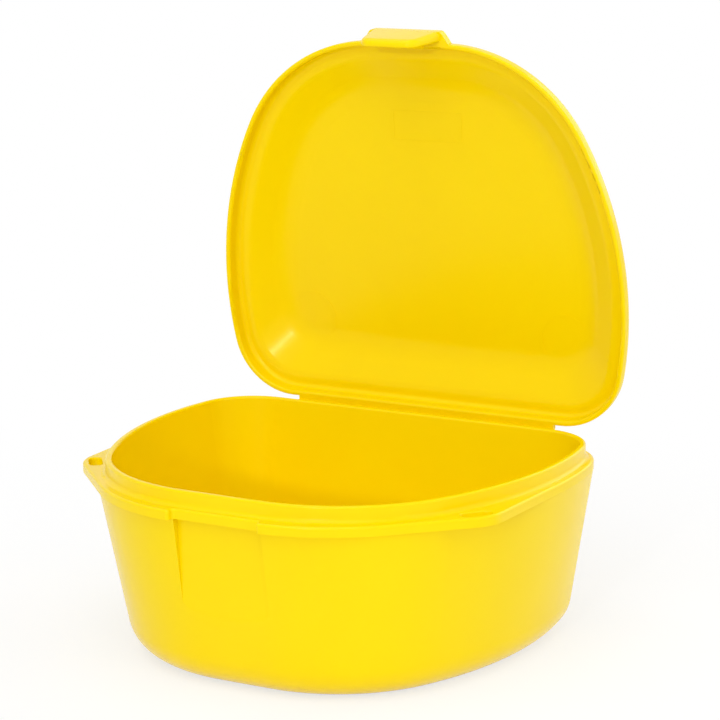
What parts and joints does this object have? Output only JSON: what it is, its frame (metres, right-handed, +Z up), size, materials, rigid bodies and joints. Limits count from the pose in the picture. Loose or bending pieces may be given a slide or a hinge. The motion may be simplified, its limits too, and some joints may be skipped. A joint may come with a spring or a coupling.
{
  "type": "retainer case",
  "caption": "Small moulded case with a deep tub, a shallow lid on a film hinge, a front snap tongue and two corner ears with a cord eyelet each.",
  "frame": {"origin": "middle of the flat underside, where the case stands", "axes": "+Z up out of the tub, -Y towards the front with the snap tongue, +X to the right seen from the front"},
  "size_m": [0.0778, 0.0764, 0.0987],
  "materials": {
    "moulded_yellow": "satin injection-moulded polypropylene, opaque warm yellow"
  },
  "bodies": {
    "base": {"base_tub": "moulded_yellow", "hinge_film": "moulded_yellow"},
    "lid": {"lid_shell": "moulded_yellow"},
    "latch": {"latch_tongue": "moulded_yellow"}
  },
  "joints": [
    {"name": "lid_hinge", "type": "hinge", "parent": "base", "child": "lid", "pos_m": [0, 0.0352, 0.02911], "axis": [-1, 0, 0], "range_deg": [-84.5, 95.5], "deforming": ["hinge_film"]},
    {"name": "latch_flex", "type": "hinge", "parent": "lid", "child": "latch", "pos_m": [0, 0.02955, 0.09858], "axis": [-1, 0, 0], "range_deg": [0, 16], "stiffness_Nm_per_rad": 0.2}
  ]
}
